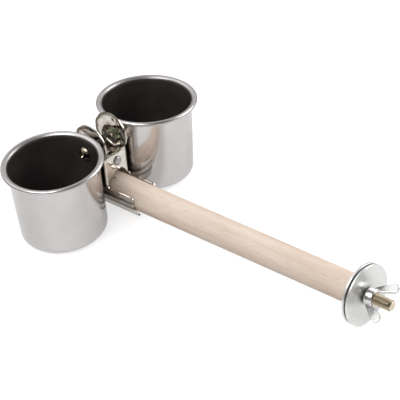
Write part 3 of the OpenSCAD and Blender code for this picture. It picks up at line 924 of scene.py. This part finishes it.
def bent(flat, flat_half, side):
    u, s = flat[:, 0], flat[:, 1]
    # the profile seen from the end: plate, wrap round the dowel, straight flare
    wrap = s < LEAVE_Z
    angle = np.clip(LEAVE + (s - LEAVE_Z) / LIP_R, -FLARE, LEAVE)
    past = np.clip(LEAVE_Z - ARC_LEN - s, 0, None)
    y = np.where(wrap, LIP_R * np.cos(angle) - past * math.sin(FLARE), PLATE_IN + SHEET / 2)
    z = np.where(wrap, LIP_R * np.sin(angle) - past * math.cos(FLARE), s)
    # the neck steps in, the tab is a little hollow, and the dish pushes out towards the cup
    y -= NECK_STEP * smooth_step(s, EAR_Z - 0.4, EAR_Z + 1.1)
    r = np.hypot(u, s - SCREW_Z)
    in_tab = smooth_step(s, EAR_Z + 0.8, EAR_Z + 3.4)
    y += HOLLOW * (1 - smooth_step(r, DISH_R - 1, TAB_R - 0.6)) * in_tab
    dish_floor = TAB_IN + SHEET / 2 + DISH_DEPTH
    y += (dish_floor - y) * (1 - smooth_step(r, DISH_FLOOR_R, DISH_R))
    # the two bends, which begin softly above the lip
    bend = smooth_step(s, LIP_TOP + 0.2, LIP_TOP + 2.2) * (s < EAR_Z + 0.3)
    over = np.clip(np.abs(u) - flat_half, 0, None)
    turn = np.minimum(over / BEND_R, math.pi / 2)
    past = np.clip(over - BEND_LEN, 0, None)
    x_bent = flat_half + BEND_R * np.sin(turn)
    y_bent = y - BEND_R * (1 - np.cos(turn)) - past
    x = np.where(over > 0, x_bent * bend + np.abs(u) * (1 - bend), np.abs(u)) * np.sign(u)
    y = np.where(over > 0, y_bent * bend + y * (1 - bend), y)
    return np.column_stack((CLIP_X + x, side * y, z))


print("middle of the lip's top:", bent(np.array([[0, LIP_TOP]]), OUTER_EAR, 1).round(2))

# %% Both jaws
MESH_STEP, EDGE_ROUND = 0.42, 0.13


def jaw(hand, side, half):
    flat_half, loops = blank(half)
    flat, faces = filled(loops, MESH_STEP)
    made = piece(f"jaw_{hand}_stamped", bent(flat, flat_half, side).tolist(), faces, nickel)
    wall = made.modifiers.new("wall", "SOLIDIFY")
    wall.thickness, wall.offset, wall.use_even_offset = SHEET * MM, 0.0, True
    edge = made.modifiers.new("edge", "BEVEL")
    edge.width, edge.segments = EDGE_ROUND * MM, 2
    edge.limit_method, edge.angle_limit = "ANGLE", math.radians(60)
    stand_in(smoothed(baked(made), 50), f"{hand}_jaw", "nickel", f"{hand}_side")


jaw("left", -1, OUTER_EAR)
jaw("right", 1, INNER_EAR)

# %% [markdown]
# ## The pivot pin
#
# The pin is peened over at both ends. The hammer leaves a low, slightly uneven dome, which is the
# grey spot on the ear in the photograph.

# %% Pin
PIN_END = OUTER_EAR + 0.12
PEENED = ((1.6, 0), (2.3, 0), (2.6, 0.18), (2.45, 0.5), (1.9, 0.78), (1.0, 0.88), (0, 0.86))
head = [(r, PIN_END + h) for r, h in PEENED]
pin = lathe("pivot_pin_peened", [(r, -h) for r, h in head[::-1]] + head, 64,
            along_x(CLIP_X, PIN_Z), pin_steel, sharp=60)
stand_in(pin, "pivot_pin", "pin_steel", "clip")

# %% [markdown]
# ## The torsion spring
#
# The wire makes a little over five turns round the pin, and its two straight legs press the plates
# apart. The path is a rule, so it is computed, and Geometry Nodes turns the line of points into
# round wire. The wire is made as two halves that meet on top of the coil, because each leg turns
# with its own jaw. `blend` turns the points of a half about the pin, not at all in the middle of
# the coil and fully at its side, so the coil stays round when the jaws open.

# %% The tree for round wire along a line
def wire_tree():
    tree, given = new_tree("round wire", Radius=0.001, Sides=16)
    line = add_node(tree, "GeometryNodeMeshToCurve", {"Mesh": given["Geometry"]})
    ring = add_node(tree, "GeometryNodeCurvePrimitiveCircle",
                    {"Radius": given["Radius"], "Resolution": given["Sides"]})
    sweep = add_node(tree, "GeometryNodeCurveToMesh",
                     {"Curve": line.outputs["Curve"], "Profile Curve": ring.outputs["Curve"],
                      "Fill Caps": True})
    return end_tree(tree, sweep.outputs["Mesh"], given["Finish"])


WIRE = wire_tree()

# %% Spring: each half runs from its leg to the top of the coil
WIRE_R, COIL_R, COIL_PITCH, TURNS = 0.7, 3.4, 1.95, 5
HALF_STEPS, BLEND_Y = 110, 2.5
# the angle by which each half ends short of the top, so that the two never touch
SEAM = 0.0006
leg_y = PLATE_IN - WIRE_R - 0.05
coil_half = COIL_PITCH * (TURNS + 0.3) / 2
leg_z = SCREW_Z - PIN_Z - math.sqrt(DISH_R ** 2 - coil_half ** 2) - WIRE_R / 2
leave = math.atan2(leg_z, leg_y) - math.acos(COIL_R / math.hypot(leg_z, leg_y))
half_turn = (TURNS + 0.5) * math.pi + leave
end_x = COIL_PITCH * half_turn / (2 * math.pi)


def spring_half(hand, side):
    angles = [half_turn * (1 - i / HALF_STEPS) for i in range(HALF_STEPS)] + [0.01, SEAM]
    line = [(side * end_x, side * leg_y, leg_z)]
    line += [(side * end_x * a / half_turn, -side * COIL_R * math.sin(a), COIL_R * math.cos(a))
             for a in angles]
    path = bpy.data.meshes.new("spring_path")
    path.from_pydata([Vector((CLIP_X + x, y, PIN_Z + z)) * MM for x, y, z in line],
                     [(i, i + 1) for i in range(len(line) - 1)], [])
    wire = grown(f"spring_wire_{hand}", WIRE, {"Radius": WIRE_R * 0.97 * MM, "Sides": 20},
                 spring_steel, path)
    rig.replaces(wire, "torsion_spring")
    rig.slot(wire, "spring_steel")
    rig.blend(wire, "clip", f"{hand}_side", start=Vector((CLIP_X, 0, PIN_Z)) * MM,
             end=Vector((CLIP_X, side * BLEND_Y, PIN_Z)) * MM)
    print(wire.name, "faces:", len(wire.data.polygons))


spring_half("left", -1)
spring_half("right", 1)

# %% [markdown]
# ## The cups
#
# A cup is spun from one disc of sheet, so it is a closed profile turned about its axis: the pushed
# up foot, the rounded corner, the wall that widens a little upwards, the flared rim and the edge
# rolled into a bead. The `inside` attribute marks the inner wall for the finish's painted shade and
# reaches up into the flare, and the `rim` attribute marks all that lies above the start of the flare.

# %% The cup's profile
def cup_profile():
    corner = (CUP_R - CUP_TAPER - FOOT_R, FOOT_R)
    rise = corner[0] - FOOT_RING
    flare_r = RIM_R - BEAD_R - (CUP_R - CUP_WALL)
    flare = (RIM_R - BEAD_R, CUP_H - flare_r)
    bead = (RIM_R - BEAD_R, CUP_H - BEAD_R)
    flat = rise - FOOT_RISE

    def wall(inset, start, end):
        """From the foot's corner up to the flare, as two shares of that way."""
        return [(CUP_R - CUP_TAPER - inset + CUP_TAPER * t, FOOT_R + (flare[1] - FOOT_R) * t)
                for t in np.linspace(start, end, 16)]

    outside = [(0, FOOT_RISE), (rise * 0.5, FOOT_RISE), (flat - 0.4, FOOT_RISE)]
    outside += [(flat + 0.1, FOOT_RISE * 0.75), (rise - 0.2, FOOT_RISE * 0.12)]
    outside += [(rise + 0.4, 0), (corner[0] - 0.4, 0)] + arc(corner, FOOT_R, -90, 0, 14)
    outside += wall(0, 0.08, 0.97)
    outside += arc(flare, flare_r - CUP_WALL, 180, 123, 8) + arc(bead, BEAD_R, 171, 450, 28)
    inside = arc(flare, flare_r, 96, 180, 21) + wall(CUP_WALL, 0.97, 0.08)
    inside += arc(corner, FOOT_R - CUP_WALL, 0, -90, 14)
    up = FOOT_RISE + CUP_WALL
    inside += [(rise + 0.4, CUP_WALL), (rise - 0.2, CUP_WALL + 0.1), (flat + 0.1, up * 0.85)]
    inside += [(flat - 0.4, up), (rise * 0.5, up), (0, up)]
    return outside, inside, flare[1]


print("cup profile points:", [len(side) for side in cup_profile()[:2]])

# %% Cups, with the painted shade inside and the rim marked
PAINTED_SHADE_TOP, PAINTED_SHADE_FADE, RIM_FADE = 1.6, 0.5, 1.2


def beside_clip(side, y, z, turn):
    """Turns a shape about X and moves it to the clip; the left side is the right one mirrored."""
    return (Matrix.Diagonal((1, side, 1, 1)) @ Matrix.Translation((CLIP_X, y, z))
            @ Matrix.Rotation(turn, 4, "X"))


def cup(hand, side):
    outside, inside, flare_z = cup_profile()
    place = beside_clip(side, CUP_Y, CUP_Z, -LEAN)
    points, faces, uvs = turned(outside + inside, 256, place)
    made = piece(f"cup_{hand}_spun", points, faces, spun, uvs=uvs)
    rings = np.array(outside + inside)
    back = place.inverted()
    marks = {"inside": [], "rim": []}
    for vert in made.data.vertices:
        spot = back @ (vert.co / MM)
        above = spot.z - flare_z
        far = np.hypot(rings[:, 0] - math.hypot(spot.x, spot.y), rings[:, 1] - spot.z)
        # painted shade: the inner wall and the lower part of the flare are marked to be painted dark
        painted_shade = 1 - (above - PAINTED_SHADE_TOP) / PAINTED_SHADE_FADE if np.argmin(far) >= len(outside) else 0
        marks["inside"].append(max(0.0, min(1.0, painted_shade)))
        marks["rim"].append(max(0.0, min(1.0, above / RIM_FADE)))
    for mark, values in marks.items():
        made.data.attributes.new(mark, "FLOAT", "POINT").data.foreach_set("value", values)
    stand_in(made, f"{hand}_cup", "cup_steel", f"{hand}_side")


cup("left", -1)
cup("right", 1)

# %% [markdown]
# ## The cup screws and nuts
#
# A domed screw goes through each cup's wall into the floor of the dish, where a hexagon nut holds
# it. The head's cross recess is cut with two tapered bars, and the nut is a hexagonal bar whose
# corners are turned off by a cone, as on a lathe.

# %% Screw heads and shanks
HEAD_R, HEAD_H, HEAD_Y = 3.8, 2.2, DISH_OUT + CUP_SEAT + CUP_WALL + 0.5
NUT_FLAT, NUT_T = 7.0, 3.2
NUT_IN = TAB_IN + DISH_DEPTH - 0.1 - NUT_T
SCREW_END = NUT_IN - 0.8
SQUARE = ((-1, -1), (1, -1), (1, 1), (-1, 1))
# the recess at its mouth and at its floor: height, half width and half length
RECESS = ((HEAD_Y + HEAD_H + 0.4, 0.62, 2.1), (HEAD_Y + HEAD_H - 1.4, 0.34, 0.7))


def cup_screw(hand, side):
    place = beside_clip(side, 0, SCREW_Z, -math.pi / 2)
    ball = (HEAD_R ** 2 + HEAD_H ** 2) / (2 * HEAD_H)
    brim = math.degrees(math.asin(HEAD_R / ball))
    shape = [(0, HEAD_Y), (HEAD_R - 0.12, HEAD_Y)]
    shape += arc((0, HEAD_Y + HEAD_H - ball), ball, 90 - brim + 2, 90, 12)
    shape[-1] = (0, HEAD_Y + HEAD_H)
    head = lathe(f"screw_{hand}_head", shape, 96, place, screw_steel)
    # the bars taper from the mouth down, so their two ends face the other way
    near, far, *sides = prism(4)
    for angle in (20, 110):
        turn = Matrix.Rotation(math.radians(angle), 4, "Z")
        bar = [place @ (turn @ Vector((x * reach, y * width, h)))
               for h, width, reach in RECESS for x, y in SQUARE]
        carve(head, piece("driver", bar, [near[::-1], far[::-1], *sides], screw_steel))
    smoothed(head, 35)
    length = HEAD_Y + 0.3 - SCREW_END
    lie = (Matrix.Translation(Vector((CLIP_X, side * SCREW_END, SCREW_Z)) * MM)
           @ Matrix.Rotation(side * math.pi / 2, 4, "Z"))
    flip = Matrix.Translation(Vector((length * MM, 0, 0))) @ Matrix.Rotation(math.pi, 4, "Z")
    shank = threaded(f"screw_{hand}_shank", screw_steel, lie @ flip, rows=130,
                     Length=length, Pitch=0.7, Crest=1.99, Root=1.68, Bevel=0.4)
    for part in (head, shank):
        stand_in(part, f"{hand}_cup_screw", "screw_steel", f"{hand}_side")


cup_screw("left", -1)
cup_screw("right", 1)

# %% Nuts
TAP_R, TAP_MOUTH = 2.02, (2.35, 0.35)
CONE_OUT, CONE_DROP = 0.75, 0.42


def cup_nut(hand, side):
    place = beside_clip(side, 0, SCREW_Z, -math.pi / 2)
    low, high = NUT_IN, NUT_IN + NUT_T
    hexagon = arc((0, 0), NUT_FLAT / 2 / math.cos(math.pi / 6), 0, 300, 5)
    points = [place @ Vector((*corner, h)) for h in (low, high) for corner in hexagon]
    made = piece(f"nut_{hand}", points, prism(6), nut_plate)
    r = NUT_FLAT / 2 * 0.97
    cone = [(0, low), (r, low), (r + CONE_OUT, low + CONE_DROP),
            (r + CONE_OUT, high - CONE_DROP), (r, high), (0, high)]
    carve(made, lathe("lathe", cone, 96, place, nut_plate), "INTERSECT")
    hole = drill_bit(TAP_R, low, high, TAP_MOUTH, TAP_MOUTH)
    carve(made, lathe("tap", hole, 64, place, nut_plate))
    stand_in(smoothed(made, 20), f"{hand}_cup_nut", "screw_steel", f"{hand}_side")


cup_nut("left", -1)
cup_nut("right", 1)

# %% [markdown]
# ## The floor and the light
#
# The part stands on the feet of its cups and the rims of its washers, so the floor is tilted a
# degree to touch all of them. The background is white: the floor adds a little light of its own
# where the camera or a mirror sees it, so it reads white and still keeps the object's shadow.

# %% Floor
FEET_X, FEET_Z, RIM_X, RIM_Z = CLIP_X, -12.75, 1.0, -16.0
REACH, UNDER = 4000, 0.05
SEEN_GLOW, MIRRORED_GLOW = 0.68, 0.34
tilt = (RIM_Z - FEET_Z) / (RIM_X - FEET_X)
corners = [(x * REACH, y * REACH, FEET_Z + tilt * (x * REACH - FEET_X) - UNDER)
           for x, y in SQUARE]
paper = Finish("studio_paper", Base_Color=(0.60, 0.60, 0.60, 1), Roughness=0.9,
               Specular_IOR_Level=0.1)
rays = paper.add("LightPath").outputs
strength = paper.maths("ADD", paper.maths("MULTIPLY", rays["Is Camera Ray"], SEEN_GLOW),
                       paper.maths("MULTIPLY", rays["Is Glossy Ray"], MIRRORED_GLOW))
glow = paper.add("Emission", {"Color": (1, 1, 1, 1), "Strength": strength})
lit = paper.add("AddShader", {0: paper.shader.outputs[0], 1: glow.outputs[0]})
# bright metal mirrors the table as far as it reaches, and the dark room beyond it
away = paper.number(paper.distance((-90, 0, 0)), 0.0, 1.0, 0.21, 0.38)
beyond = paper.maths("MULTIPLY", away, rays["Is Glossy Ray"])
room = paper.add("Emission", {"Color": (0.13, 0.12, 0.115, 1), "Strength": 1.0})
seen = paper.add("MixShader", {0: beyond, 1: lit.outputs[0], 2: room.outputs[0]})
paper.tree.links.new(seen.outputs[0], paper.tree.nodes["Material Output"].inputs["Surface"])
floor = piece("floor", corners, [[0, 1, 2, 3]], paper)
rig.stage(floor)
print("floor tilt:", round(math.degrees(math.atan(tilt)), 2), "degrees")

# %% [markdown]
# The world is white where the camera sees it, and soft and even where it lights the object. Bright
# metal mirrors bands of grey instead: a dark horizon, a light band above it as from a row of
# windows, and less light overhead and from the front, where the camera stands.

# %% World
BANDS = ((0.50, 0.13), (0.58, 0.30), (0.67, 0.80), (0.84, 0.60), (0.97, 0.28))
WARM = (1, 0.985, 0.975)
FRONT = (0.58, -0.58, 0.58)
LIGHT_LEVEL = 0.30
world = bpy.data.worlds.new("studio")
bpy.context.scene.world = world
world.use_nodes = True
sky = world.node_tree
sky.nodes.clear()


def sky_node(kind, inputs=None, **settings):
    return add_node(sky, "ShaderNode" + kind, inputs, **settings).outputs


def background(colour, strength):
    return sky_node("Background", {"Color": colour, "Strength": strength})[0]


ray = sky_node("LightPath")
direction = sky_node("TexCoord")["Generated"]
height = sky_node("SeparateXYZ", {"Vector": direction})["Z"]
share = sky_node("MapRange", {"Value": height, "From Min": -1.0, "From Max": 1.0})[0]
shade = add_node(sky, "ShaderNodeValToRGB", {"Fac": share})
set_stops(shade.color_ramp, greys(BANDS, WARM))
front = sky_node("VectorMath", {0: direction, 1: FRONT}, operation="DOT_PRODUCT")["Value"]
dim = sky_node("MapRange", {"Value": front, "From Min": 0.1, "From Max": 0.8,
                            "To Min": 1.0, "To Max": 0.22})[0]
lighting = background((1, 1, 1, 1), LIGHT_LEVEL)
mirrored = background(shade.outputs["Color"], dim)
unseen = sky_node("MixShader", {0: ray["Is Glossy Ray"], 1: lighting, 2: mirrored})[0]
white = background((1, 1, 1, 1), 1.0)
both = sky_node("MixShader", {0: ray["Is Camera Ray"], 1: unseen, 2: white})[0]
sky_node("OutputWorld", {"Surface": both})
print("sky nodes:", len(sky.nodes))

# %% Lamps: large and soft, all turned to the middle of the object
CENTRE = Vector((-0.09, 0, 0))


def softbox(name, place, size, power):
    lamp = bpy.data.lights.new(name, "AREA")
    lamp.shape, lamp.energy = "RECTANGLE", power
    lamp.size, lamp.size_y = size
    obj = placed(name, lamp)
    obj.location = place
    obj.rotation_euler = (CENTRE - Vector(place)).to_track_quat("-Z", "Y").to_euler()
    print(name, "lamp:", power, "W")


softbox("key", (-0.1, -0.7, 1.05), (0.9, 0.7), 9.0)
softbox("fill", (0.4, 0.9, 0.6), (0.7, 0.7), 7.0)
softbox("back", (-0.80, -0.20, 1.05), (1.2, 1.2), 3.2)

# %% [markdown]
# ## The camera
#
# The camera was worked out from the rims and feet of the cups, the edges of the perch and the
# washers: a long lens, about 45 degrees round and 34 degrees up, rolled a little.

# %% Camera
YAW, PITCH, ROLL = 0.779109, 0.597288, 0.099558
STAND = (0.60115, -0.71464, 0.69736)
FOCAL, FILM = 216.0, 36.0
ahead = Vector((-math.sin(YAW) * math.cos(PITCH), math.cos(YAW) * math.cos(PITCH),
                -math.sin(PITCH)))
across = Vector((math.cos(YAW), math.sin(YAW), 0))
down = ahead.cross(across)
right = math.cos(ROLL) * across + math.sin(ROLL) * down
below = -math.sin(ROLL) * across + math.cos(ROLL) * down
lens = bpy.data.cameras.new("camera")
lens.lens, lens.sensor_width, lens.clip_end = FOCAL, FILM, 20.0
camera = placed("camera", lens)
turn = Matrix((right, -below, -ahead)).transposed().to_4x4()
camera.matrix_world = Matrix.Translation(STAND) @ turn
bpy.context.scene.camera = camera
bpy.context.scene.view_settings.view_transform = "Standard"
print("camera at", tuple(round(v, 4) for v in camera.location))

# %% Measure and finish
json.dump({"cad": [list(v) for v in cad_box], "visual": [list(v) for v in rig.bounds()]}, open("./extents.json", "w"))
print(open("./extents.json").read())
